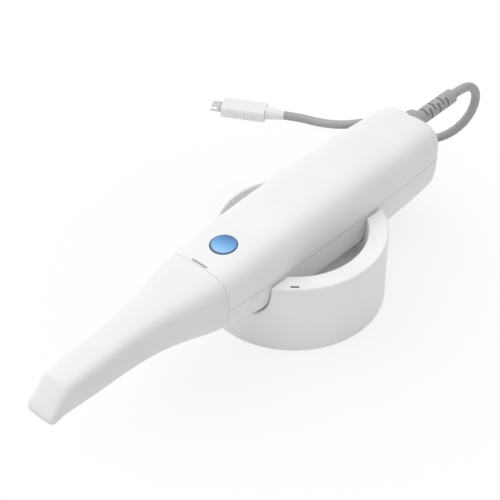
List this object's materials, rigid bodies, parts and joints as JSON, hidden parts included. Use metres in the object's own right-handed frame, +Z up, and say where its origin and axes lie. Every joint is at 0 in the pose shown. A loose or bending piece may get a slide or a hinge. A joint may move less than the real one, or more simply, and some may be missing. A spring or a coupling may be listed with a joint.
{
  "type": "intraoral scanner",
  "caption": "Handheld intraoral scanner with a removable mirror tip, a scan button and a tied cable, lying in the notches of a round desk cradle.",
  "frame": {"origin": "middle of the cradle's foot, on the desk", "axes": "+X along the handpiece from the scan tip to the cable boot, +Z up"},
  "size_m": [0.3269, 0.1871, 0.0628],
  "materials": {
    "body_white": "semi-gloss moulded white",
    "tip_white": "satin moulded white, steam-proof",
    "cradle_white": "satin moulded white",
    "button_blue": "translucent blue lit from behind",
    "mark_grey": "moulded grey",
    "barrel_grey": "glass-filled, light-absorbing",
    "cable_grey": "soft extruded jacket",
    "plug_white": "moulded white",
    "tie_grey": "woven hook-and-loop strap",
    "foot_rubber": "soft pad",
    "mirror": "front-silvered glass",
    "glass": "coated optical glass",
    "metal": "milled and anodised",
    "black_metal": "black anodised",
    "steel": "stamped and turned",
    "board_green": "solder-masked laminate",
    "chip_black": "moulded epoxy",
    "ribbon_amber": "polyimide film"
  },
  "bodies": {
    "handpiece": {"upper_shell": "body_white", "lower_shell": "body_white", "nose_barrel": "barrel_grey", "nose_window": "glass", "index_key": "mark_grey", "button_switch": "chip_black", "button_board": "board_green", "optics_bed": "metal", "bed_screws": "steel", "projector_housing": "black_metal", "projector_lens": "glass", "camera_left": "black_metal", "camera_right": "black_metal", "camera_lens_left": "glass", "camera_lens_right": "glass", "main_board": "board_green", "board_screws": "steel", "processor_chip": "chip_black", "heat_sink": "metal", "cable_socket": "chip_black", "ribbon_cable": "ribbon_amber", "inner_lead": "cable_grey", "cable_boot": "cable_grey", "cable_lead": "cable_grey", "cable_hank": "cable_grey", "cable_tail": "cable_grey", "cable_tie": "tie_grey", "plug_body": "plug_white", "plug_shell": "steel", "cradle_ring": "cradle_white", "cradle_mark": "mark_grey", "cradle_foot": "foot_rubber", "cradle_weight": "steel"},
    "tip": {"tip_sleeve": "tip_white", "tip_mirror": "mirror"},
    "button": {"scan_button": "button_blue"}
  },
  "joints": [
    {"name": "tip_slide", "type": "slide", "parent": "handpiece", "child": "tip", "axis": [-1, 0, 0], "range_m": [0, 0.06]},
    {"name": "button_press", "type": "slide", "parent": "handpiece", "child": "button", "axis": [0.0737, 0, -0.9973], "range_m": [0, 0.0008], "stiffness_N_per_m": 1500}
  ]
}
